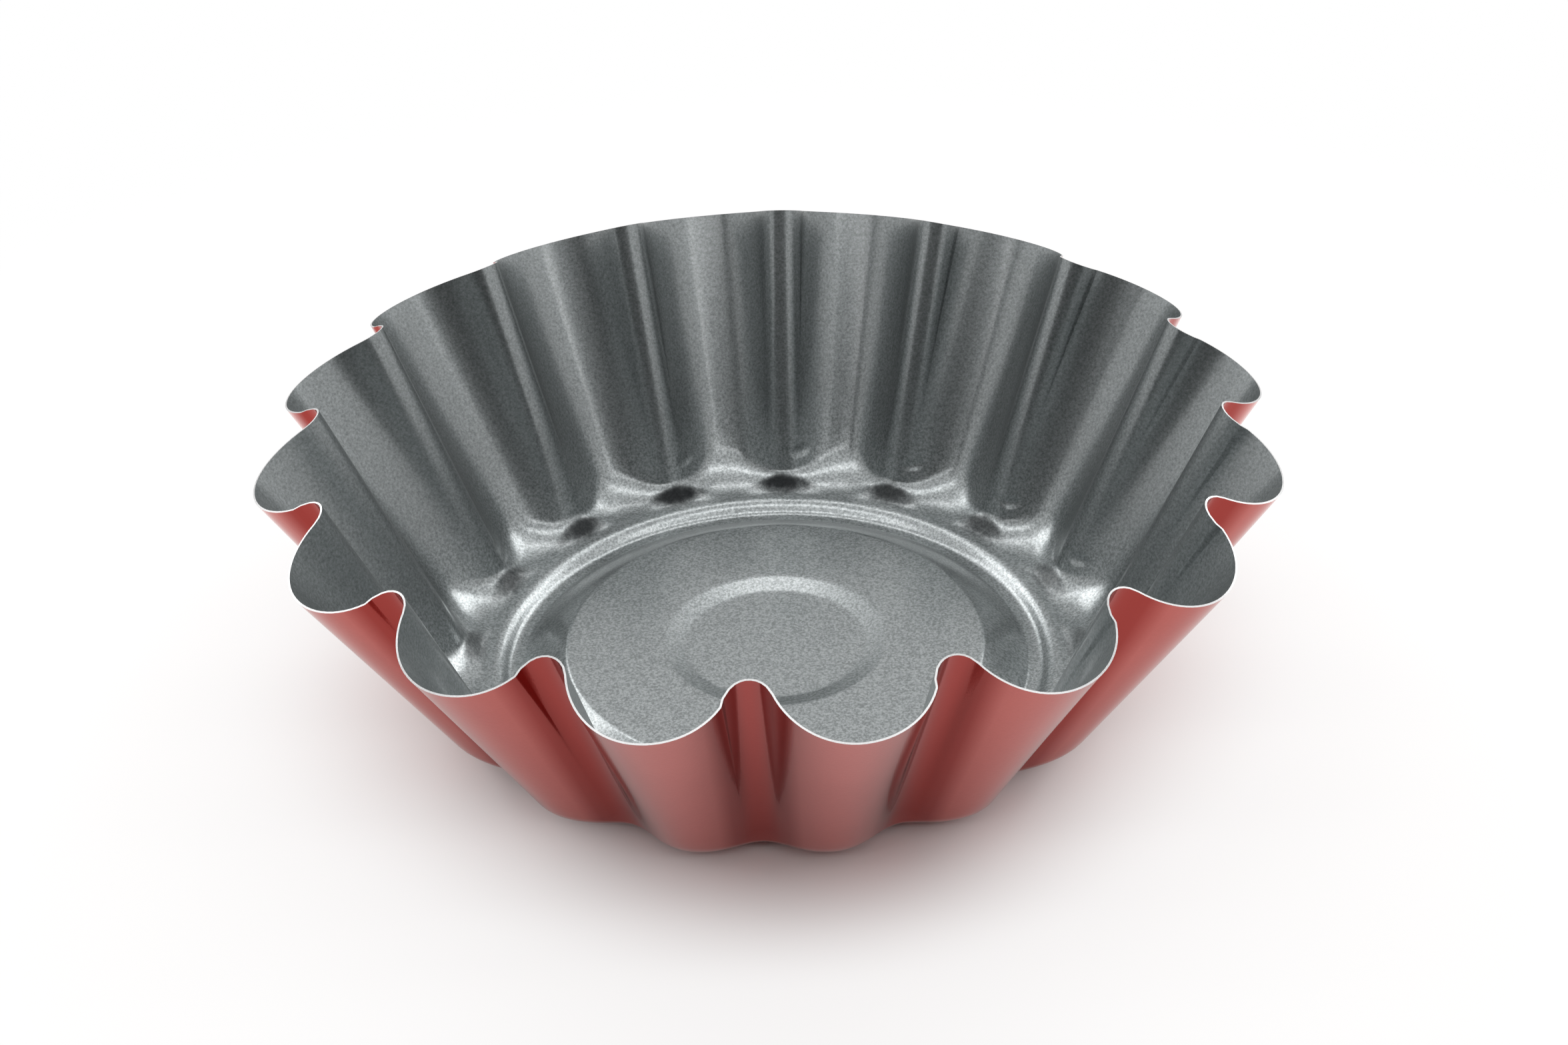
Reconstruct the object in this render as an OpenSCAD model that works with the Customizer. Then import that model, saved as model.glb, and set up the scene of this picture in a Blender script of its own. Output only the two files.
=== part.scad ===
// Fluted gugelhupf tin, pressed in one piece from thin coated steel sheet.
// The origin is the centre of the plane that the tin stands on, with Z up and a lobe on X.
// In each direction round the axis, the sheet's middle surface has a section of straight
// lines and round bends. The sheet's two faces lie half a thickness to either side of it.

/* [Sheet] */
// Thickness of the pressed sheet
sheet_t = 0.4; // [0.3:0.05:1.2]

/* [Rim] */
// Diameter of the rim across two opposite lobes
rim_d = 220; // [200:1:250]
// Height of the tin at the highest points of its rim, in the valleys between the lobes
tin_h = 65.8; // [50:0.1:90]
// How much lower the rim lies on the lobes than in the valleys
rim_drop = 6.6; // [0:0.1:12]

/* [Flutes] */
// Number of lobes round the tin
flutes = 16; // [12:1:18]
// How far the valleys reach in from the lobes, at the rim
flute_depth = 12.6; // [10:0.1:15]
// Radius of the bend at the bottom of each valley, at the rim
valley_bend_r = 4.9; // [3:0.1:5.5]

/* [Fold steps] */
// Height of the small step in the sheet beside each valley, at the rim
fold_step = 1.1; // [0.2:0.05:1.5]
// Distance of that step from the middle of its valley
fold_side = 5; // [4.6:0.1:6]
// Length of wall over which the step dies away below the rim
fold_run = 45; // [15:1:55]

/* [Foot] */
// Radius at which a lobe's wall would meet the bottom in a sharp corner
foot_lobe_r = 75.3; // [70:0.1:82]
// Height of that sharp corner
foot_lobe_z = 2.7; // [2:0.1:5]
// Radius of the bend that rounds it
foot_lobe_bend_r = 15.5; // [8:0.5:16]
// How much nearer the axis a valley's sharp corner lies
foot_valley_in = 3.7; // [1:0.1:5]
// Height of the valley's sharp corner
foot_valley_z = 6; // [3:0.1:8]
// Radius of the bend that rounds it
foot_valley_bend_r = 3; // [1.5:0.5:5]

/* [Shelf] */
// Distance from a lobe's sharp corner in to the edge of the shelf that lies round the ring
toe_lobe_in = 9.7; // [9.5:0.1:12]
// The same distance in a valley
toe_valley_in = 4.2; // [3.5:0.1:5]
// Length along which that edge is eased, to each side
toe_reach = 0.9; // [0.4:0.1:1]
// Height of that edge above the ring
toe_rise = 2.3; // [1:0.1:3]
// Width of the shelf at a lobe
shelf_w = 2.6; // [2.5:0.1:4]
// Height of the shelf's inner edge above the ring
lip_rise = 2.2; // [1:0.1:2.5]
// Radius of the bend at the shelf's inner edge
lip_bend_r = 4; // [2:0.5:4]
// Width of the slope from there down to the ring
lip_slope_w = 2.8; // [2.7:0.1:4]

/* [Bottom] */
// Width of the ring that the tin stands on, between the slopes beside it
ring_w = 2.6; // [2.4:0.1:5]
// Radius of the bends at both sides of the ring
ring_bend_r = 3; // [1:0.1:3]
// Width of the slope from the ring up to the disc
disc_slope_w = 10.2; // [8:0.1:14]
// Height of the raised flat disc above the ring
disc_rise = 5.2; // [2:0.1:6]
// Radius of the shallow recess in the middle of the disc
recess_r = 20.6; // [12:0.1:26]
// Width of the slope round the recess
recess_slope_w = 5; // [3:0.1:8]
// Depth of the recess
recess_depth = 1.2; // [0.4:0.1:2]
// Radius of the bends round the disc and the recess
bottom_bend_r = 2; // [1:0.1:3]

/* [Hidden] */

// Plan of the rim: each lobe's arc touches the bends of the valleys beside it.
pitch = 360 / flutes;
half_pitch = pitch / 2;
lobe_tip_r = rim_d / 2;
valley_tip_r = lobe_tip_r - flute_depth;
bend_centre_r = valley_tip_r + valley_bend_r;
bend_centre_x = bend_centre_r * cos(half_pitch);
bend_centre_y = bend_centre_r * sin(half_pitch);
lobe_arc_r = (pow(lobe_tip_r - bend_centre_x, 2) + pow(bend_centre_y, 2) - pow(valley_bend_r, 2))
    / (2 * (lobe_tip_r - bend_centre_x + valley_bend_r));
lobe_centre_r = lobe_tip_r - lobe_arc_r;
lobe_turn = atan2(bend_centre_y, bend_centre_x - lobe_centre_r);
touch_angle = half_pitch - arc_angle(lobe_turn);
rim_slope = rim_drop / flute_depth;

// The step lies on the clockwise side of its valley, seen from above.
fold_angle = asin(fold_side / bend_centre_r);
fold_ramp = 0.18;

// Radii of the foot, the shelf, the ring and the disc
foot_valley_r = foot_lobe_r - foot_valley_in;
toe_lobe_r = foot_lobe_r - toe_lobe_in;
toe_valley_r = foot_valley_r - toe_valley_in;
lip_r = toe_lobe_r - shelf_w;
ring_outer_r = lip_r - lip_slope_w;
ring_inner_r = ring_outer_r - ring_w;
disc_r = ring_inner_r - disc_slope_w;

// Heights of the middle surface over the plane that the tin stands on
ring_z = sheet_t / 2;
toe_z = ring_z + toe_rise;
lip_z = ring_z + lip_rise;
disc_z = ring_z + disc_rise;
recess_z = disc_z - recess_depth;

// Places along a flute and down the wall at which the surface is worked out
lobe_stations = 5;
lobe_stations_past_valley = 6;
wall_shares = [0, 0.12, 0.3, 0.55];
foot_steps = 4;
toe_steps = 2;
bend_steps = 2;

// Rows above the foot's bend have every station, the bend's and the toe's have half, the others a quarter.
last_full_row = len(wall_shares);
last_half_row = len(wall_shares) + foot_steps + toe_steps + 1;

function unit(v) = v / norm(v);

// Radius of the lobe's arc and of the valley's bend, seen from the axis at an angle
function lobe_r(angle) =
    lobe_centre_r * cos(angle) + sqrt(pow(lobe_arc_r, 2) - pow(lobe_centre_r * sin(angle), 2));
function valley_r(angle) =
    bend_centre_r * cos(angle) - sqrt(pow(valley_bend_r, 2) - pow(bend_centre_r * sin(angle), 2));
function rim_r(angle) =
    abs(angle) < touch_angle ? valley_r(angle) : lobe_r(half_pitch - abs(angle));

// Angle from the lobe's middle, seen from the axis, of the point a turn along its arc
function arc_angle(turn) =
    atan2(lobe_arc_r * sin(turn), lobe_centre_r + lobe_arc_r * cos(turn));
// The turn along the lobe's arc of the point at an angle seen from the axis
function arc_turn(angle) =
    atan2(lobe_r(angle) * sin(angle), lobe_r(angle) * cos(angle) - lobe_centre_r);

// Angles from a valley's middle, from the middle of one lobe almost to that of the next
fold_turn = arc_turn(half_pitch - fold_angle - fold_ramp / 2);
stations = [
    for (i = [0:lobe_stations - 1]) arc_angle(fold_turn * i / lobe_stations) - half_pitch,
    -fold_angle - fold_ramp / 2,
    -fold_angle + fold_ramp / 2,
    -touch_angle / 2,
    0,
    touch_angle / 2,
    touch_angle,
    for (i = [lobe_stations_past_valley - 1:-1:1])
        half_pitch - arc_angle(lobe_turn * i / lobe_stations_past_valley)
];

// Share of the fold's step at an angle: all of it just outside the step, and none at the lobe
function fold_share(angle) =
    angle > -fold_angle ? 0 : pow((half_pitch + angle) / (half_pitch - fold_angle), 2);
function fold_fade(run) = pow(max(0, 1 - run / fold_run), 2);

// How much of the valley's foot an angle has: 0 in the middle of a lobe, 1 in a valley
function valley_share(angle) = (1 + cos(angle * flutes)) / 2;
function between(lobe, valley, angle) = lobe + (valley - lobe) * valley_share(angle);

// Points round the bend at corner b between a and c, each as [radius, height, heading]
function bend(a, b, c, radius, steps) =
    let (
        back = unit(a - b),
        ahead = unit(c - b),
        turn = 180 - acos(back * ahead),
        reach = radius * tan(turn / 2),
        centre = b + unit(back + ahead) * radius / cos(turn / 2),
        from = b + back * reach - centre,
        to = b + ahead * reach - centre
    )
    [for (i = [0:steps])
        let (
            out = sin(turn * (1 - i / steps)) / sin(turn),
            in = sin(turn * i / steps) / sin(turn),
            place = centre + from * out + to * in
        )
        [place[0], place[1], ahead * in - back * out]];

// Points along a parabola that eases a slight corner at b, from a reach before it to a reach after it
function ease(a, b, c, reach, steps) =
    let (back = unit(a - b), ahead = unit(c - b))
    [for (i = [0:steps])
        let (
            share = i / steps,
            place = b + back * reach * pow(1 - share, 2) + ahead * reach * pow(share, 2),
            heading = unit(ahead * share - back * (1 - share))
        )
        [place[0], place[1], heading]];

// Points down the straight wall from the rim to the start of the foot's bend
function wall(rim, foot_start, angle) =
    let (
        length = norm(foot_start - rim),
        heading = unit(foot_start - rim)
    )
    [for (share = wall_shares)
        let (
            place = rim + heading * length * share,
            fold = fold_step * fold_share(angle) * fold_fade(length * share)
        )
        [place[0] + fold, place[1] - fold * rim_slope, heading]];

// The whole section at an angle, from the rim to the edge of the recess
function section(angle) =
    let (
        r = rim_r(angle),
        rim = [r, tin_h - (r - valley_tip_r) * rim_slope],
        foot = [between(foot_lobe_r, foot_valley_r, angle), between(foot_lobe_z, foot_valley_z, angle)],
        foot_bend_r = between(foot_lobe_bend_r, foot_valley_bend_r, angle),
        toe = [between(toe_lobe_r, toe_valley_r, angle), toe_z],
        lip = [lip_r, lip_z],
        ring_outer = [ring_outer_r, ring_z],
        ring_inner = [ring_inner_r, ring_z],
        disc_edge = [disc_r, disc_z],
        recess_edge = [recess_r + recess_slope_w, disc_z],
        recess_floor = [recess_r, recess_z],
        middle = [0, recess_z],
        foot_bend = bend(rim, foot, toe, foot_bend_r, foot_steps)
    )
    concat(
        wall(rim, [foot_bend[0][0], foot_bend[0][1]], angle),
        foot_bend,
        ease(foot, toe, lip, toe_reach, toe_steps),
        bend(toe, lip, ring_outer, lip_bend_r, bend_steps),
        bend(lip, ring_outer, ring_inner, ring_bend_r, bend_steps),
        bend(ring_outer, ring_inner, disc_edge, ring_bend_r, bend_steps),
        bend(ring_inner, disc_edge, recess_edge, bottom_bend_r, bend_steps),
        bend(disc_edge, recess_edge, recess_floor, bottom_bend_r, bend_steps),
        bend(recess_edge, recess_floor, middle, bottom_bend_r, bend_steps)
    );

sections = [for (angle = stations) section(angle)];
row_count = len(sections[0]);
station_count = len(stations);

function turned(v, angle) =
    [v[0] * cos(angle) - v[1] * sin(angle), v[0] * sin(angle) + v[1] * cos(angle), v[2]];

// Place of a station on the middle surface, where stations before and past a flute's are its neighbours'
function mid(station, row) =
    let (
        i = (station + station_count) % station_count,
        around = pitch * floor(station / station_count),
        s = sections[i][row]
    )
    turned([s[0], 0, s[1]], stations[i] + around);

// Direction square to the sheet at a station, pointing into the tin
function inward(station, row) =
    let (
        along = mid(station + 1, row) - mid(station - 1, row),
        heading = sections[station][row][2],
        down = turned([heading[0], 0, heading[1]], stations[station])
    )
    unit(cross(along, down));

// A face of the sheet: side is 1 for the inside of the tin and -1 for its outside.
function every(row) = row < last_full_row ? 1 : row < last_half_row ? 2 : 4;
function face_row(row, side) =
    let (
        one_flute = [for (i = [0:every(row):station_count - 1])
            mid(i, row) + inward(i, row) * side * sheet_t / 2]
    )
    [for (k = [0:flutes - 1]) for (p = one_flute) turned(p, k * pitch + half_pitch)];
function face_points(side) = [
    for (row = [0:row_count - 1]) each face_row(row, side),
    [0, 0, recess_z + side * sheet_t / 2]
];

// How many points a row has, and how many come before it on its face of the sheet
function row_size(row) = flutes * station_count / every(row);
row_start = [for (row = 0, n = 0; row <= row_count; n = n + row_size(row), row = row + 1) n];
face_size = row_start[row_count] + 1;

// Triangles between a row and the next, which has as many points or half as many
function band(row) =
    let (
        n = row_size(row),
        m = row_size(row + 1),
        a = row_start[row],
        b = row_start[row + 1]
    )
    n == m
        ? [for (i = [0:n - 1])
            let (j = (i + 1) % n)
            each [[a + i, a + j, b + j], [a + i, b + j, b + i]]]
        : [for (i = [0:m - 1])
            let (
                j = (i + 1) % m,
                first = a + 2 * i,
                second = first + 1,
                third = a + (2 * i + 2) % n
            )
            each [[first, second, b + i], [second, b + j, b + i], [second, third, b + j]]];
// Triangles from the last row to the point on the axis
function middle_fan() =
    let (
        n = row_size(row_count - 1),
        a = row_start[row_count - 1]
    )
    [for (i = [0:n - 1]) [a + i, a + (i + 1) % n, face_size - 1]];
outside_triangles = [for (row = [0:row_count - 2]) each band(row), each middle_fan()];
inside_triangles = [for (t = outside_triangles) [t[0], t[2], t[1]] + face_size * [1, 1, 1]];
// The sheet's cut edge joins the first rows of its two faces.
edge_triangles = [for (i = [0:row_size(0) - 1])
    let (
        j = (i + 1) % row_size(0),
        inside = i + face_size,
        inside_next = j + face_size
    )
    each [[inside, inside_next, j], [inside, j, i]]];

module tin() {
    color("firebrick")
        polyhedron(
            points = concat(face_points(-1), face_points(1)),
            faces = concat(outside_triangles, inside_triangles, edge_triangles),
            convexity = 10
        );
}

tin();
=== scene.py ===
"""Fluted gugelhupf tin: one pressed sheet, red lacquer outside and grey non-stick coating inside.

The sheet is one closed mesh worked out with numpy. In each direction round the axis its middle
surface has a section of straight lines and round bends, and its two faces lie half a thickness
to either side of it. Lengths are in millimetres until the mesh is made, and then in metres.
"""
import math

import bpy
import numpy as np
from mathutils import Matrix, Vector


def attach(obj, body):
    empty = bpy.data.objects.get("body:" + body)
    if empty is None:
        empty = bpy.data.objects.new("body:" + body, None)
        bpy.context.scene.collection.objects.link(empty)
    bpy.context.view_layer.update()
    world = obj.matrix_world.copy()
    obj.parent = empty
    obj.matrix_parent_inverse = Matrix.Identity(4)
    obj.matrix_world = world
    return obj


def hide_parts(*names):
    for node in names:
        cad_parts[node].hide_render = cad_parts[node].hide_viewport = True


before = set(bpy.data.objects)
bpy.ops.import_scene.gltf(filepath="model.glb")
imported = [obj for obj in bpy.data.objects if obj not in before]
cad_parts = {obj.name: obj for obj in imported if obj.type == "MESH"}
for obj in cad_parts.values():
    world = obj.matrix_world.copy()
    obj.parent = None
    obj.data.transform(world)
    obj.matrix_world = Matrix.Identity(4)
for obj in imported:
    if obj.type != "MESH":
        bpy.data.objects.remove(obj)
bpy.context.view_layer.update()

MM = 0.001

# Sheet, rim and flutes
SHEET_T = 0.4
LOBE_TIP_R = 110.0
TIN_H = 65.8
RIM_DROP = 6.6
FLUTES = 16
FLUTE_DEPTH = 12.6
VALLEY_BEND_R = 4.9

# The small step in the sheet beside each valley, and the turn in degrees that its rise takes
FOLD_STEP = 1.1
FOLD_SIDE = 5.0
FOLD_RUN = 45.0
FOLD_RAMP = 0.2

# Foot: radius and height of the sharp corner between wall and bottom, and the bend that rounds it
FOOT_LOBE = (75.3, 2.7, 15.5)
FOOT_VALLEY = (71.6, 6.0, 3.0)

# Shelf between the foot and the ring: its outer end at the toe and its inner end at the lip
TOE_LOBE_R = 65.6
TOE_VALLEY_R = 67.4
TOE_RISE = 2.3
TOE_REACH = 0.9
LIP_R = 63.0
LIP_RISE = 2.2
LIP_BEND_R = 4.0

# Bottom: ring that the tin stands on, raised disc and its recess
RING_OUTER_R = 60.6
RING_INNER_R = 57.6
RING_BEND_R = 2.7
DISC_R = 47.4
DISC_RISE = 5.2
RECESS_R = 20.6
RECESS_SLOPE_W = 5.0
RECESS_DEPTH = 1.2
DISC_BEND_R = 2.0
RECESS_BEND_R = 6.0

# Steps along the section's bends and its straight stretches, from the rim to the axis
BEND_STEPS = (9, 4, 5, 6, 5, 3, 3, 3)
LINE_STEPS = (14, 2, 1, 1, 1, 3, 4, 1, 5)

# Points over one flute: on the lobe's arc before the fold, on the fold, round the valley, on the arc after it
LOBE_BEFORE_POINTS = 14
FOLD_POINTS = 5
VALLEY_POINTS = 10
LOBE_AFTER_POINTS = 15
# The arc before the fold ends at this share of its turn, and no nearer to the fold than this many degrees
LOBE_BEFORE_END = 0.985
FOLD_GAP = 0.15

# Edges sharper than this many degrees stay sharp: those of the cut rim
SHARP_ANGLE = 60

# Derived sizes
PITCH = 360.0 / FLUTES
HALF_PITCH = PITCH / 2
VALLEY_TIP_R = LOBE_TIP_R - FLUTE_DEPTH
BEND_CENTRE_R = VALLEY_TIP_R + VALLEY_BEND_R
RING_Z = SHEET_T / 2
DISC_Z = RING_Z + DISC_RISE
RECESS_Z = DISC_Z - RECESS_DEPTH
RIM_SLOPE = RIM_DROP / FLUTE_DEPTH


def cosd(a):
    return np.cos(np.radians(a))


def sind(a):
    return np.sin(np.radians(a))


def lobe_arc():
    """Radius of the lobe's arc that touches the bends of the valleys beside it, and its centre's distance
    from the axis: two circles touch where the distance of their centres is the sum of their radii."""
    x, y = BEND_CENTRE_R * cosd(HALF_PITCH), BEND_CENTRE_R * sind(HALF_PITCH)
    gap = LOBE_TIP_R - x
    radius = (gap**2 + y**2 - VALLEY_BEND_R**2) / (2 * (gap + VALLEY_BEND_R))
    return radius, LOBE_TIP_R - radius


LOBE_ARC_R, LOBE_CENTRE_R = lobe_arc()
LOBE_TURN = math.degrees(
    math.atan2(BEND_CENTRE_R * sind(HALF_PITCH), BEND_CENTRE_R * cosd(HALF_PITCH) - LOBE_CENTRE_R)
)
FOLD_ANGLE = math.degrees(math.asin(FOLD_SIDE / BEND_CENTRE_R))


def arc_angle(turn):
    """Angle from the lobe's middle, seen from the axis, of the point a turn along the lobe's arc."""
    return np.degrees(np.arctan2(LOBE_ARC_R * sind(turn), LOBE_CENTRE_R + LOBE_ARC_R * cosd(turn)))


TOUCH_ANGLE = HALF_PITCH - float(arc_angle(LOBE_TURN))


def rim_radius(angle):
    """Distance of the rim from the axis: the near side of the valley's bend within the touching angle,
    and the far side of the lobe's arc outside it. Both are a circle seen from the axis."""
    off = np.abs(angle)
    from_lobe = HALF_PITCH - off
    bend_square = VALLEY_BEND_R**2 - (BEND_CENTRE_R * sind(off)) ** 2
    in_valley = BEND_CENTRE_R * cosd(off) - np.sqrt(np.maximum(bend_square, 0))
    arc_square = LOBE_ARC_R**2 - (LOBE_CENTRE_R * sind(from_lobe)) ** 2
    on_lobe = LOBE_CENTRE_R * cosd(from_lobe) + np.sqrt(arc_square)
    return np.where(off < TOUCH_ANGLE, in_valley, on_lobe)


def smooth_step(x):
    """Rises from 0 to 1 with level ends: three squares less two cubes."""
    x = np.clip(x, 0, 1)
    return x * x * (3 - 2 * x)


def fold_share(angle):
    """Share of the fold's step: a quick smooth rise at the fold's angle, on the clockwise side of the valley,
    times a square that falls to nothing at the middle of the lobe."""
    rise = smooth_step((-angle - FOLD_ANGLE) / FOLD_RAMP + 0.5)
    return rise * np.clip((HALF_PITCH + angle) / (HALF_PITCH - FOLD_ANGLE), 0, 1) ** 2


def between(lobe, valley, angle):
    """A value that swings from the lobe's to the valley's and back along a cosine."""
    return lobe + (valley - lobe) * (1 + cosd(angle * FLUTES)) / 2


def unit(v):
    return v / np.linalg.norm(v, axis=-1, keepdims=True)


def bend(a, b, c, radius, steps):
    """Points and headings of the arc that rounds the corner at b, from the line a-b to the line b-c.
    The arm from the arc's centre swings from one line's foot to the other's at a steady rate."""
    back, ahead = unit(a - b), unit(c - b)
    turn = np.pi - np.arccos(np.clip((back * ahead).sum(-1, keepdims=True), -1, 1))
    reach = radius * np.tan(turn / 2)
    centre = b + unit(back + ahead) * radius / np.cos(turn / 2)
    share = np.linspace(0, 1, steps + 1)[:, None, None]
    left, right = np.sin(turn * (1 - share)) / np.sin(turn), np.sin(turn * share) / np.sin(turn)
    place = centre + (b + back * reach - centre) * left + (b + ahead * reach - centre) * right
    return place, ahead * right - back * left


def ease(a, b, c, reach, steps):
    """Points and headings of the parabola that eases a slight corner at b either way: it leaves the line a-b
    a reach before the corner and meets the line b-c a reach after it."""
    back, ahead = unit(a - b), unit(c - b)
    share = np.linspace(0, 1, steps + 1)[:, None, None]
    return b + reach * (back * (1 - share) ** 2 + ahead * share**2), unit(ahead * share - back * (1 - share))


def line(a, b, heading, steps):
    """Evenly spaced points on the straight stretch between two bends, without its ends."""
    share = np.linspace(0, 1, steps + 1)[1:-1, None, None]
    return a + (b - a) * share, np.broadcast_to(heading, (steps - 1,) + heading.shape)


def section_corners(angle):
    """The sharp corners of the section from the rim to the axis, radius and height for an array of angles."""
    count = len(angle)

    def all_round(r, z):
        return np.stack([np.full(count, r), np.full(count, z)], -1)

    rim_r = rim_radius(angle)
    return [
        np.stack([rim_r, TIN_H - (rim_r - VALLEY_TIP_R) * RIM_SLOPE], -1),
        np.stack([between(FOOT_LOBE[k], FOOT_VALLEY[k], angle) for k in (0, 1)], -1),
        np.stack([between(TOE_LOBE_R, TOE_VALLEY_R, angle), np.full(count, RING_Z + TOE_RISE)], -1),
        all_round(LIP_R, RING_Z + LIP_RISE),
        all_round(RING_OUTER_R, RING_Z),
        all_round(RING_INNER_R, RING_Z),
        all_round(DISC_R, DISC_Z),
        all_round(RECESS_R + RECESS_SLOPE_W, DISC_Z),
        all_round(RECESS_R, RECESS_Z),
        all_round(0.0, RECESS_Z),
    ]


def section(angle):
    """Rows of the sheet's middle surface for an array of angles: radius, height and heading down the sheet.
    The corners from the rim to the axis are joined by straight stretches. The toe is eased and every other
    corner is rounded by a bend."""
    corners = section_corners(angle)
    foot_bend_r = between(FOOT_LOBE[2], FOOT_VALLEY[2], angle)[:, None]
    turns = [
        (bend, foot_bend_r), (ease, TOE_REACH), (bend, LIP_BEND_R), (bend, RING_BEND_R),
        (bend, RING_BEND_R), (bend, DISC_BEND_R), (bend, RECESS_BEND_R), (bend, RECESS_BEND_R),
    ]
    places, headings = [], []
    start = corners[0]
    for i, (turn, size) in enumerate(turns):
        arc, arc_heading = turn(corners[i], corners[i + 1], corners[i + 2], size, BEND_STEPS[i])
        run, run_heading = line(start, arc[0], unit(arc[0] - start), LINE_STEPS[i])
        if i == 0:
            run = np.concatenate([start[None], run])
            run_heading = np.concatenate([unit(arc[:1] - start), run_heading])
        places += [run, arc]
        headings += [run_heading, arc_heading]
        start = arc[-1]
    run, run_heading = line(start, corners[-1], unit(corners[-1] - start), LINE_STEPS[-1])
    places, headings = np.concatenate(places + [run]), np.concatenate(headings + [run_heading])
    # The fold's step is added down the wall, dying away along it.
    along = np.linalg.norm(places - corners[0], axis=-1)
    fold = FOLD_STEP * fold_share(angle) * np.clip(1 - along / FOLD_RUN, 0, 1) ** 2
    places = places + np.stack([fold, -fold * RIM_SLOPE], -1)
    return places, headings


def flute_angles():
    """Angles from a valley's middle over one flute, close together at the fold and evenly spaced along arcs."""
    fold_out, fold_in = -FOLD_ANGLE - FOLD_RAMP / 2, -FOLD_ANGLE + FOLD_RAMP / 2
    turns_before = np.linspace(0, LOBE_TURN * LOBE_BEFORE_END, LOBE_BEFORE_POINTS, endpoint=False)
    lobe_before = arc_angle(turns_before) - HALF_PITCH
    lobe_before = lobe_before[lobe_before < fold_out - FOLD_GAP]
    fold = np.linspace(fold_out, fold_in, FOLD_POINTS)
    valley = np.linspace(fold_in, TOUCH_ANGLE, VALLEY_POINTS)[1:]
    turns_after = np.linspace(LOBE_TURN, 0, LOBE_AFTER_POINTS, endpoint=False)
    lobe_after = HALF_PITCH - arc_angle(turns_after)[1:]
    return np.concatenate([lobe_before, fold, valley, lobe_after])


def tin_faces():
    """Both faces of the sheet as grids of points, rows by angles. A face is the middle surface plus or minus
    half a thickness along the direction square to it, which is the cross product of the steps round and
    down the surface."""
    angle = flute_angles()
    place, heading = section(angle)
    around = (np.arange(FLUTES)[:, None] * PITCH + HALF_PITCH + angle).ravel()
    r, z = np.tile(place[..., 0], FLUTES), np.tile(place[..., 1], FLUTES)
    heading_r, heading_z = np.tile(heading[..., 0], FLUTES), np.tile(heading[..., 1], FLUTES)
    c, s = cosd(around), sind(around)
    middle = np.stack([r * c, r * s, z], -1)
    down = np.stack([heading_r * c, heading_r * s, heading_z], -1)
    along = np.roll(middle, -1, axis=1) - np.roll(middle, 1, axis=1)
    inward = unit(np.cross(along, down))
    half = SHEET_T / 2
    return middle - inward * half, middle + inward * half


def grid_quads(rows, columns, first):
    """Quads of a grid that closes on itself along its rows, numbered from a first point."""
    i, j = np.meshgrid(np.arange(rows - 1), np.arange(columns), indexing="ij")
    k = (j + 1) % columns
    a = first + i * columns
    return np.stack([a + j, a + columns + j, a + columns + k, a + k], -1).reshape(-1, 4)


def tin_mesh(materials):
    """The closed sheet: outside, inside, the cut edge that joins their first rows, and a fan at each pole.
    Materials go by face: lacquer outside, coating inside, bare steel on the edge."""
    outside, inside = tin_faces()
    rows, columns = outside.shape[:2]
    count = rows * columns
    poles = np.array([[0, 0, RECESS_Z - SHEET_T / 2], [0, 0, RECESS_Z + SHEET_T / 2]])
    points = np.concatenate([outside.reshape(-1, 3), inside.reshape(-1, 3), poles]) * MM
    outer_quads = grid_quads(rows, columns, 0)
    inner_quads = grid_quads(rows, columns, count)[:, ::-1]
    j = np.arange(columns)
    k = (j + 1) % columns
    edge = np.stack([j, k, k + count, j + count], -1)
    last = (rows - 1) * columns
    outer_fan = np.stack([last + k, last + j, np.full(columns, 2 * count)], -1)
    inner_fan = np.stack([count + last + j, count + last + k, np.full(columns, 2 * count + 1)], -1)
    quads = np.concatenate([outer_quads, inner_quads, edge])
    fans = np.concatenate([outer_fan, inner_fan])
    mesh = bpy.data.meshes.new("tin_sheet")
    mesh.from_pydata(points.tolist(), [], quads.tolist() + fans.tolist())
    kinds = [(outer_quads, 0), (inner_quads, 1), (edge, 2), (outer_fan, 0), (inner_fan, 1)]
    for material in materials:
        mesh.materials.append(material)
    mesh.polygons.foreach_set("material_index", np.concatenate([np.full(len(f), m) for f, m in kinds]))
    mesh.polygons.foreach_set("use_smooth", np.ones(len(quads) + len(fans), bool))
    mesh.update()
    mesh.set_sharp_from_angle(angle=math.radians(SHARP_ANGLE))
    mesh.validate()
    return mesh


class Number:
    """A socket that carries one number, so that shader maths can be written as sums."""

    def __init__(self, finish, socket):
        self.finish = finish
        self.socket = socket

    def sum(self, operation, *terms):
        return self.finish.add("ShaderNodeMath", {"operation": operation}, dict(enumerate(terms)))

    def __add__(self, other):
        return self.sum("ADD", self, other)

    def __radd__(self, other):
        return self.sum("ADD", other, self)

    def __sub__(self, other):
        return self.sum("SUBTRACT", self, other)

    def __rsub__(self, other):
        return self.sum("SUBTRACT", other, self)

    def __mul__(self, other):
        return self.sum("MULTIPLY", self, other)

    def __rmul__(self, other):
        return self.sum("MULTIPLY", other, self)

    def __truediv__(self, other):
        return self.sum("DIVIDE", self, other)

    def __rtruediv__(self, other):
        return self.sum("DIVIDE", other, self)

    def __pow__(self, other):
        return self.sum("POWER", self, other)

    def __rpow__(self, other):
        return self.sum("POWER", other, self)

    def __abs__(self):
        return self.sum("ABSOLUTE", self)

    def fraction(self):
        return self.sum("FRACT", self)

    def most(self, other):
        return self.sum("MAXIMUM", self, other)

    def least(self, other):
        return self.sum("MINIMUM", self, other)

    def share(self):
        """The number kept between 0 and 1."""
        return self.most(0.0).least(1.0)


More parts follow.
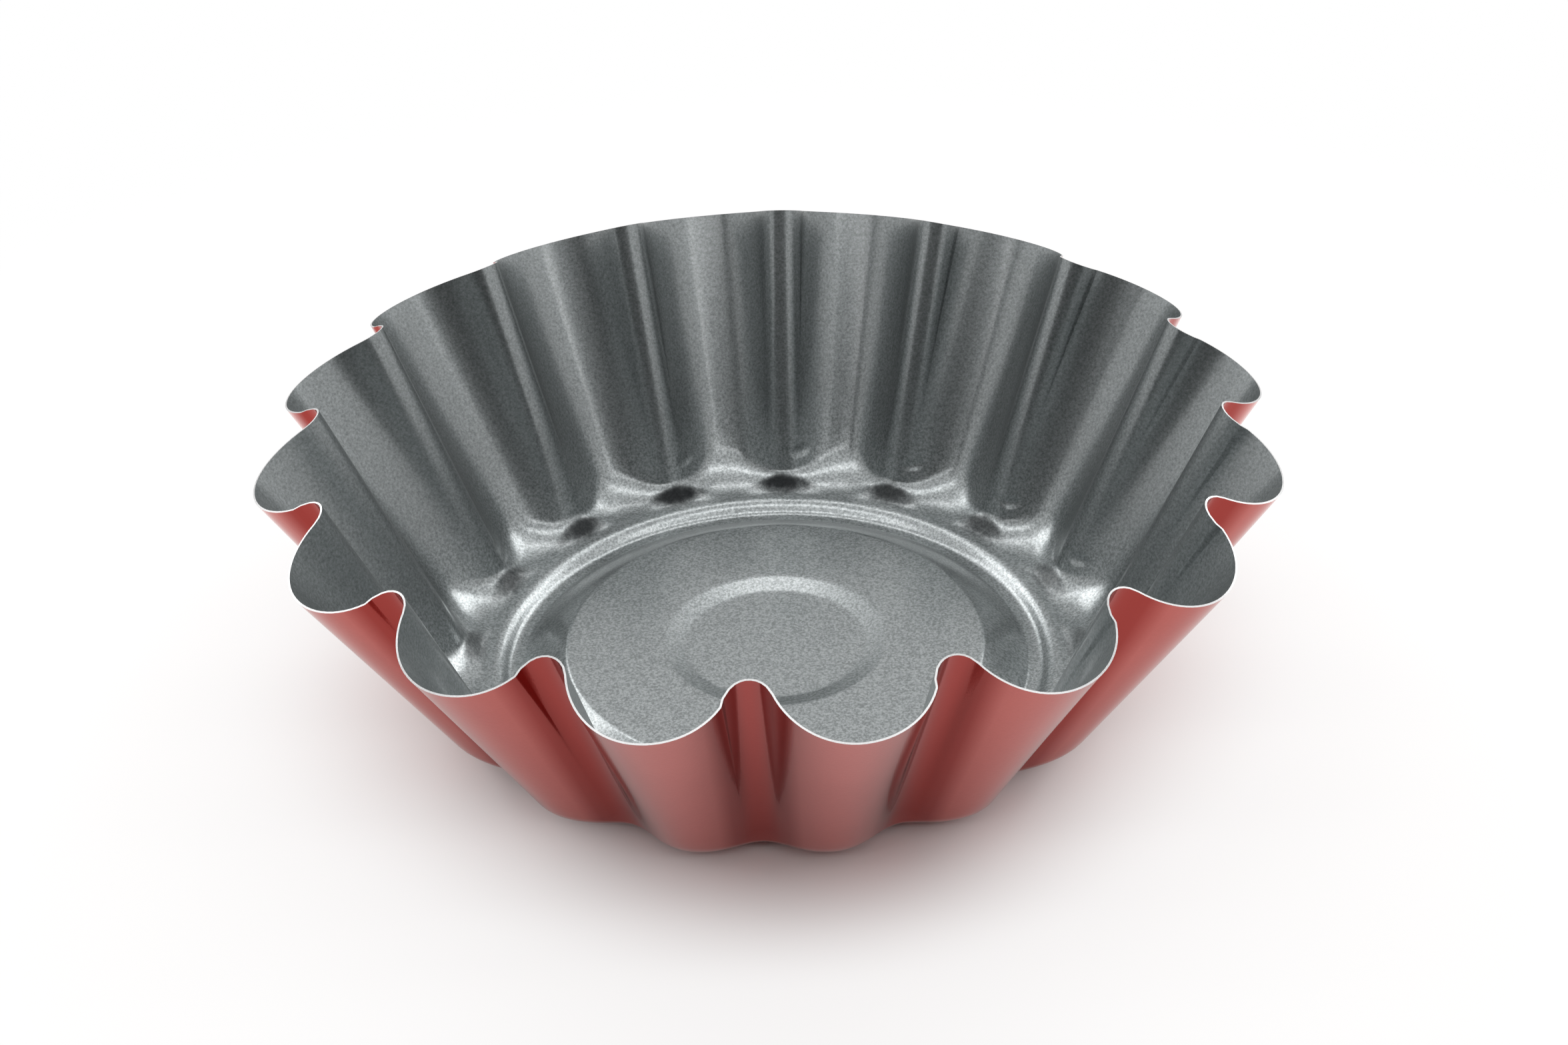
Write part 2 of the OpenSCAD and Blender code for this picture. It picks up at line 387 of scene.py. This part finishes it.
class Finish:
    """A material, or the world round the stage, being put together from nodes."""

    def __init__(self, name, world=False):
        self.owner = bpy.data.worlds.new(name) if world else bpy.data.materials.new(name)
        self.owner.use_nodes = True
        self.tree = self.owner.node_tree
        self.tree.nodes.clear()
        self.output = self.tree.nodes.new("ShaderNodeOutputWorld" if world else "ShaderNodeOutputMaterial")

    def add(self, kind, settings=None, sockets=None, out=0):
        """Adds a node: settings first, then its sockets by name or number, then gives an output."""
        node = self.tree.nodes.new(kind)
        for name, value in (settings or {}).items():
            setattr(node, name, value)
        for key, value in (sockets or {}).items():
            if isinstance(value, Number):
                self.tree.links.new(value.socket, node.inputs[key])
            else:
                node.inputs[key].default_value = value
        return Number(self, node.outputs[out])

    def place(self):
        return self.add("ShaderNodeTexCoord", out="Object")

    def noise(self, place, size_mm, detail=2.0, roughness=0.5):
        """Soft noise from 0 to 1 whose lumps are about a size across."""
        return self.add(
            "ShaderNodeTexNoise", None,
            {"Vector": place, "Scale": 1000 / size_mm, "Detail": detail, "Roughness": roughness},
        )

    def round_axis(self, place):
        """Cylinder places of a point: distance from the axis and turn in radians from the middle of the nearest
        valley, height, and 1 at the back of the tin to -1 at its front."""
        x, y, z = (self.add("ShaderNodeSeparateXYZ", None, {0: place}, out=axis) / MM for axis in "XYZ")
        radius = (x * x + y * y) ** 0.5
        flute = y.sum("ARCTAN2", y, x) / math.radians(PITCH)
        return radius, (flute.fraction() - 0.5) * math.radians(PITCH), z, y / radius

    def mix(self, factor, low, high):
        return self.add("ShaderNodeMix", {"data_type": "RGBA"}, {"Factor": factor, 6: low, 7: high}, out=2)

    def smooth_rise(self, value, low, high):
        """Rises from 0 to 1 with level ends as a value goes from one number to another."""
        return self.add("ShaderNodeMapRange", {"interpolation_type": "SMOOTHSTEP"}, {0: value, 1: low, 2: high})

    def bump(self, height_mm):
        return self.add("ShaderNodeBump", None, {"Height": height_mm, "Distance": MM})

    def shade(self, **sockets):
        """Ends the material with one Principled shader."""
        named = {name.replace("_", " "): value for name, value in sockets.items()}
        return self.end(self.add("ShaderNodeBsdfPrincipled", None, named))

    def end(self, shader):
        """Joins the last shader to the output and gives the finished material or world."""
        self.tree.links.new(shader.socket, self.output.inputs["Surface"])
        return self.owner


def grey(level):
    return (level, level, level, 1)


# Non-stick coating: its grains and pebbles, how its colour and gloss change from the bottom to the wall, and the
# painted shade on the wall
GRAIN_SIZE = 0.6
GRAIN_HEIGHT = 0.024
PEBBLE_SIZE = 2.2
PEBBLE_HEIGHT = 0.016
GRAIN_CONTRAST = 4.0
WALL_CONTRAST_LOSS = 1.6
WALL_START_Z = 8.0
WALL_RAMP_H = 14.0
DARK_GRAIN = (0.150, 0.164, 0.166, 1)
LIGHT_GRAIN = (0.335, 0.358, 0.360, 1)
# Painted shade on the wall: a share of darkening that falls by the second number per millimetre of height
PAINTED_WALL_SHADE = 0.28
PAINTED_WALL_SHADE_PER_MM = 0.0033
COATING_ROUGHNESS = 0.29
WALL_ROUGHNESS = 0.05
COAT_WEIGHT = 0.6

# Painted dark reflection of each ridge's foot, on the shelf below it: middle, half length round the tin, reach
# out and in
PAINTED_REFLECTION_R = 69.6
PAINTED_REFLECTION_HALF_L = 9.0
PAINTED_REFLECTION_OUT = 1.9
PAINTED_REFLECTION_IN = 4.1
PAINTED_REFLECTION_PEBBLE = 0.5
PAINTED_REFLECTION_CUT = 0.22
# The painted reflection is full at the back of the tin and fainter toward the front
PAINTED_REFLECTION_BACK, PAINTED_REFLECTION_FRONT_LOSS = 0.66, 0.34
PAINTED_REFLECTION_COLOUR = (0.01, 0.011, 0.012, 1)
PAINTED_REFLECTION_COVER = 0.97
PAINTED_REFLECTION_ROUGHNESS = 0.3

# Small dent low on the wall, clockwise of each valley: middle, half sizes and depth
DENT_SIDE = 4.2
DENT_Z = 10.3
DENT_HALF_L = 3.0
DENT_HALF_H = 1.9
DENT_DEPTH = 0.25


def non_stick_coating():
    """Dark grey satin coating with fine light and dark grains and a faint pebbled skin. Painted shade makes the
    wall a little darker than the bottom, and the wall is more even. At the foot of each ridge a soft patch of
    painted reflection shows the ridge's dark foot: an ellipse, long round the tin and short outwards, that
    pebbles make uneven, fainter toward the front. A shallow round dent lies above each, on the clockwise side: a
    square of an ellipse's height."""
    finish = Finish("non_stick_coating")
    place = finish.place()
    grain = finish.noise(place, GRAIN_SIZE, detail=3.0, roughness=0.7)
    pebble = finish.noise(place, PEBBLE_SIZE, detail=1.0)
    radius, turn, height, back = finish.round_axis(place)
    wall = ((height - WALL_START_Z) / WALL_RAMP_H).share()
    fleck = ((grain - 0.5) * (GRAIN_CONTRAST - wall * WALL_CONTRAST_LOSS) + 0.5).share()
    off = turn * radius
    along, out = off / PAINTED_REFLECTION_HALF_L, radius - PAINTED_REFLECTION_R
    across = out.most(0.0) / PAINTED_REFLECTION_OUT + out.least(0.0) / PAINTED_REFLECTION_IN
    # Painted reflection: a dark patch at each ridge's foot, made uneven by pebbles and fading toward the front
    painted_reflection = ((1.0 - along * along - across * across) + pebble * PAINTED_REFLECTION_PEBBLE - PAINTED_REFLECTION_CUT).share()
    painted_reflection = painted_reflection * painted_reflection * (3.0 - painted_reflection * 2.0) * (PAINTED_REFLECTION_BACK + back * PAINTED_REFLECTION_FRONT_LOSS)
    along, across = (off + DENT_SIDE) / DENT_HALF_L, (height - DENT_Z) / DENT_HALF_H
    dent = (1.0 - along * along - across * across).most(0.0)
    plain = finish.mix(fleck, DARK_GRAIN, LIGHT_GRAIN)
    # Painted shade: the wall is darkened by up to a fifth, most low on the wall and less toward the rim
    with_painted_shade = finish.mix(wall * (PAINTED_WALL_SHADE - height * PAINTED_WALL_SHADE_PER_MM), plain, grey(0.0))
    colour = finish.mix(painted_reflection * PAINTED_REFLECTION_COVER, with_painted_shade, PAINTED_REFLECTION_COLOUR)
    normal = finish.bump(grain * GRAIN_HEIGHT + pebble * PEBBLE_HEIGHT - dent * dent * DENT_DEPTH)
    return finish.shade(
        Base_Color=colour, Roughness=COATING_ROUGHNESS + wall * WALL_ROUGHNESS + painted_reflection * PAINTED_REFLECTION_ROUGHNESS,
        Metallic=0.95, Normal=normal, Coat_Weight=COAT_WEIGHT - painted_reflection * COAT_WEIGHT,
        Coat_Roughness=0.15, Coat_IOR=1.6,
    )


# Red lacquer: its grain and clouds, and the painted shade, a deeper red, along each valley of the wall
LACQUER_GRAIN_SIZE = 0.7
LACQUER_GRAIN_HEIGHT = 0.01
CLOUD_SIZE = 14.0
CLOUD_CUT = 0.3
CLOUD_CONTRAST = 1.8
LACQUER_DEEP = (0.485, 0.125, 0.110, 1)
LACQUER_LIGHT = (0.535, 0.143, 0.126, 1)
LACQUER_ROUGHNESS = 0.1
GRAIN_ROUGHNESS = 0.05
PAINTED_VALLEY_SHADE = (0.35, 0.052, 0.044, 1)
VALLEY_SHADE_HALF_W = 8.5
VALLEY_SHADE_SOFT_W = 3.0
VALLEY_SHADE_START_R = 68.0
VALLEY_SHADE_RAMP_W = 6.0


def red_lacquer():
    """Satin crimson lacquer over bright steel, with a faint fine grain and soft clouds. Painted shade, a deeper
    red, follows the valleys of the wall and ends before the bottom."""
    finish = Finish("red_lacquer")
    place = finish.place()
    grain = finish.noise(place, LACQUER_GRAIN_SIZE, detail=2.0, roughness=0.6)
    cloud = finish.noise(place, CLOUD_SIZE, detail=2.0)
    tone = (grain * 0.5 + cloud * 0.5 - CLOUD_CUT) * CLOUD_CONTRAST
    plain = finish.mix(tone.share(), LACQUER_DEEP, LACQUER_LIGHT)
    radius, turn = finish.round_axis(place)[:2]
    # Painted shade: deeper red in each valley of the wall, fading out before the bottom
    valley = ((VALLEY_SHADE_HALF_W - abs(turn) * radius) / VALLEY_SHADE_SOFT_W).share()
    wall = ((radius - VALLEY_SHADE_START_R) / VALLEY_SHADE_RAMP_W).share()
    return finish.shade(
        Base_Color=finish.mix(valley * wall, plain, PAINTED_VALLEY_SHADE), Metallic=1.0,
        Roughness=LACQUER_ROUGHNESS + grain * GRAIN_ROUGHNESS, Normal=finish.bump(grain * LACQUER_GRAIN_HEIGHT),
        Coat_Weight=0.1, Coat_Roughness=0.06, Coat_IOR=1.5,
    )


# Bare edge: its scratches and their tones
SCRATCH_SIZE = 0.25
DARK_STEEL, LIGHT_STEEL = grey(0.35), grey(0.6)
STEEL_ROUGHNESS = 0.25
SCRATCH_ROUGHNESS = 0.2


def bare_edge():
    """Bright steel where the sheet was cut, with fine uneven scratches."""
    finish = Finish("bare_steel_edge")
    scratch = finish.noise(finish.place(), SCRATCH_SIZE, detail=2.0)
    colour = finish.mix(scratch, DARK_STEEL, LIGHT_STEEL)
    roughness = STEEL_ROUGHNESS + scratch * SCRATCH_ROUGHNESS
    return finish.shade(Base_Color=colour, Roughness=roughness, Metallic=0.9)


def make_tin():
    mesh = tin_mesh([red_lacquer(), non_stick_coating(), bare_edge()])
    tin = bpy.data.objects.new("tin_sheet", mesh)
    bpy.context.scene.collection.objects.link(tin)
    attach(tin, "root")
    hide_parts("tin")


# Camera of the photograph: its place and its turns were fitted to the rim in the picture
IMAGE_W = 2352
SENSOR_W = 36.0
FOCAL_PX = 3845.9
CAMERA_DISTANCE = 553.6
CAMERA_HEIGHT_ANGLE = 30.674
CAMERA_PITCH = 32.899
CAMERA_YAW = 0.349
CAMERA_ROLL = -1.755
MEAN_RIM_Z = 62.48
NEAR_CLIP, FAR_CLIP = 0.01, 50
# Turn from the photograph's directions to the tin's, whose lobes lie on X
TIN_TURN = -8.33


def place_camera():
    """Puts the camera on a sphere round the middle of the rim and turns it by yaw, pitch and roll."""
    height, pitch = math.radians(CAMERA_HEIGHT_ANGLE), math.radians(CAMERA_PITCH)
    yaw, roll = math.radians(CAMERA_YAW), math.radians(CAMERA_ROLL)
    forward = Vector((math.sin(yaw) * math.cos(pitch), math.cos(yaw) * math.cos(pitch), -math.sin(pitch)))
    right = Vector((math.cos(yaw), -math.sin(yaw), 0))
    up = right.cross(forward)
    right, up = right * math.cos(roll) + up * math.sin(roll), up * math.cos(roll) - right * math.sin(roll)
    turn = Matrix.Rotation(math.radians(TIN_TURN), 3, "Z")
    axes = Matrix((turn @ right, turn @ up, turn @ -forward)).transposed()
    place = Vector((0, -CAMERA_DISTANCE * math.cos(height), CAMERA_DISTANCE * math.sin(height) + MEAN_RIM_Z))
    data = bpy.data.cameras.new("camera")
    data.sensor_width = SENSOR_W
    data.lens = FOCAL_PX * SENSOR_W / IMAGE_W
    data.clip_start, data.clip_end = NEAR_CLIP, FAR_CLIP
    camera = bpy.data.objects.new("camera", data)
    camera.matrix_world = Matrix.Translation(turn @ place * MM) @ axes.to_4x4()
    bpy.context.scene.collection.objects.link(camera)
    bpy.context.scene.camera = camera


def plane(name, size, place, facing, material, seen=True):
    """A flat square stage piece at a place, facing a direction."""
    half = size / 2
    points = np.array([[-half, -half, 0], [half, -half, 0], [half, half, 0], [-half, half, 0]])
    turn = Vector(facing).to_track_quat("Z", "Y").to_matrix()
    points = points @ np.array(turn).T + np.array(place)
    mesh = bpy.data.meshes.new(name)
    mesh.from_pydata(points.tolist(), [], [(0, 1, 2, 3)])
    mesh.materials.append(material)
    thing = bpy.data.objects.new(name, mesh)
    thing.visible_camera = seen
    bpy.context.scene.collection.objects.link(thing)


def background_mask(finish):
    """1 for rays that see the background: the camera's, mirrored and transmitted ones."""
    seen = finish.add("ShaderNodeLightPath", out="Is Camera Ray")
    glossy = finish.add("ShaderNodeLightPath", out="Is Glossy Ray")
    through = finish.add("ShaderNodeLightPath", out="Is Transmission Ray")
    return seen.most(glossy).most(through)


# Floor, in metres from the axis: paper near the foot turns to plain white in a near and a far rise; the near
# rise adds painted shadow round the foot to the real one
PAPER = (0.86, 0.845, 0.835, 1)
NEAR_START, NEAR_END = 0.067, 0.108
FAR_START, FAR_END = 0.12, 0.34
NEAR_SHARE, FAR_SHARE = 0.74, 0.26
# The near rise is stretched round one distance toward the sides, moved out, and moved in between front and sides
STRETCH_R = 0.0905
SIDE_STRETCH = 0.7
MOVED_OUT = 0.003
BETWEEN_SHIFT, BETWEEN_END = 0.022, 0.9
# Painted shade for mirrored rays: white that they miss in the near rise, all round and more at the sides
PAINTED_MIRROR_SHADE, PAINTED_MIRROR_SIDE_SHADE = 0.1, 0.6


def floor_material():
    """Pale floor that turns to plain white away from the tin, where the camera sees it as background, and keeps
    the tin's real shadow near the foot; the shape of the turn adds painted shadow round the foot. The turn is
    softer
    at the sides than in front: side is the square of the sideways share of a point's direction, 0 in front and 1
    at the sides. Mirrored rays see less white near the foot, most at the sides: painted shade in its reflection."""
    finish = Finish("pale_floor")
    place = finish.place()
    away = finish.add("ShaderNodeVectorMath", {"operation": "LENGTH"}, {0: place}, out="Value")
    across = finish.add("ShaderNodeSeparateXYZ", None, {0: place}, out="X") / away
    side = across * across
    mirrored = finish.add("ShaderNodeLightPath", out="Is Glossy Ray")
    # Painted shadow: the near rise to white is shaped round the foot, softer at the sides
    stretched = (away - STRETCH_R) / (1.0 + side * SIDE_STRETCH) + (STRETCH_R - MOVED_OUT)
    shifted = stretched + side * (BETWEEN_END - side) * BETWEEN_SHIFT
    near = finish.smooth_rise(shifted, NEAR_START, NEAR_END)
    far = finish.smooth_rise(away, FAR_START, FAR_END)
    # Painted shade: mirrored rays see less of the white near the foot, most at the sides
    near_white = near * (NEAR_SHARE - mirrored * (PAINTED_MIRROR_SHADE + side * PAINTED_MIRROR_SIDE_SHADE))
    white_share = (near_white + far * FAR_SHARE) * background_mask(finish)
    paper = finish.add("ShaderNodeBsdfDiffuse", None, {"Color": PAPER})
    white = finish.add("ShaderNodeEmission", None, {"Color": grey(1.0), "Strength": 1.0})
    return finish.end(finish.add("ShaderNodeMixShader", None, {0: white_share, 1: paper, 2: white}))


def dark_cloth():
    finish = Finish("dark_cloth")
    return finish.shade(Base_Color=grey(0.03), Roughness=0.9)


# Surroundings: light that the world gives to rough surfaces, as a share of the white that the camera sees
WORLD_LIGHT = 0.8

# Lamps, at one distance from the middle of the floor: name, azimuth, height angle, sides in metres, radiance
LAMP_DISTANCE = 1.2
LAMPS = [
    ("back_softbox", 180, 60, (2.0, 0.17), 3.0),
    ("top_softbox", 0, 82, (2.0, 0.18), 3.5),
    ("front_softbox", 0, 43, (1.6, 0.13), 3.3),
    ("back_left_softbox", -135, 34, (0.75, 0.45), 3.3),
    ("back_right_softbox", 135, 34, (0.75, 0.45), 3.3),
]
LAMP_TARGET = (0, 0, 0.03)

# Floor and dark cloth: sides in metres, and the cloth's azimuth, height angle and distance
FLOOR_SIDE = 6.0
CLOTH_SIDE = 2.1
CLOTH_AZIMUTH = -12
CLOTH_HEIGHT_ANGLE = 10
CLOTH_DISTANCE = 1.3


def softbox(name, place, size, radiance):
    """An area lamp that looks at the tin, with the power that gives a radiance over its face."""
    data = bpy.data.lights.new(name, "AREA")
    data.shape = "RECTANGLE"
    data.size, data.size_y = size
    data.energy = radiance * math.pi * size[0] * size[1]
    lamp = bpy.data.objects.new(name, data)
    lamp.location = place
    lamp.rotation_euler = (Vector(LAMP_TARGET) - Vector(place)).to_track_quat("-Z", "Y").to_euler()
    bpy.context.scene.collection.objects.link(lamp)


def polar(azimuth, height_angle, distance):
    """A place round the tin, azimuth from the camera's side, in metres."""
    a, h = math.radians(azimuth - 90 + TIN_TURN), math.radians(height_angle)
    return (distance * math.cos(a) * math.cos(h), distance * math.sin(a) * math.cos(h), distance * math.sin(h))


def light_scene():
    """White surroundings, three long soft lamps in a row overhead, one lamp at each side behind the tin, the
    floor, and a dark cloth low behind the camera that faces the tin."""
    finish = Finish("surroundings", world=True)
    strength = WORLD_LIGHT + background_mask(finish) * (1.0 - WORLD_LIGHT)
    bpy.context.scene.world = finish.end(
        finish.add("ShaderNodeBackground", None, {"Color": grey(1.0), "Strength": strength})
    )
    for name, azimuth, height_angle, size, radiance in LAMPS:
        softbox(name, polar(azimuth, height_angle, LAMP_DISTANCE), size, radiance)
    plane("floor", FLOOR_SIDE, (0, 0, 0), (0, 0, 1), floor_material())
    cloth_place = polar(CLOTH_AZIMUTH, CLOTH_HEIGHT_ANGLE, CLOTH_DISTANCE)
    to_tin = polar(CLOTH_AZIMUTH + 180, -CLOTH_HEIGHT_ANGLE, 1.0)
    plane("dark_cloth", CLOTH_SIDE, cloth_place, to_tin, dark_cloth(), seen=False)


bpy.context.scene.view_settings.view_transform = "Standard"
place_camera()
make_tin()
light_scene()
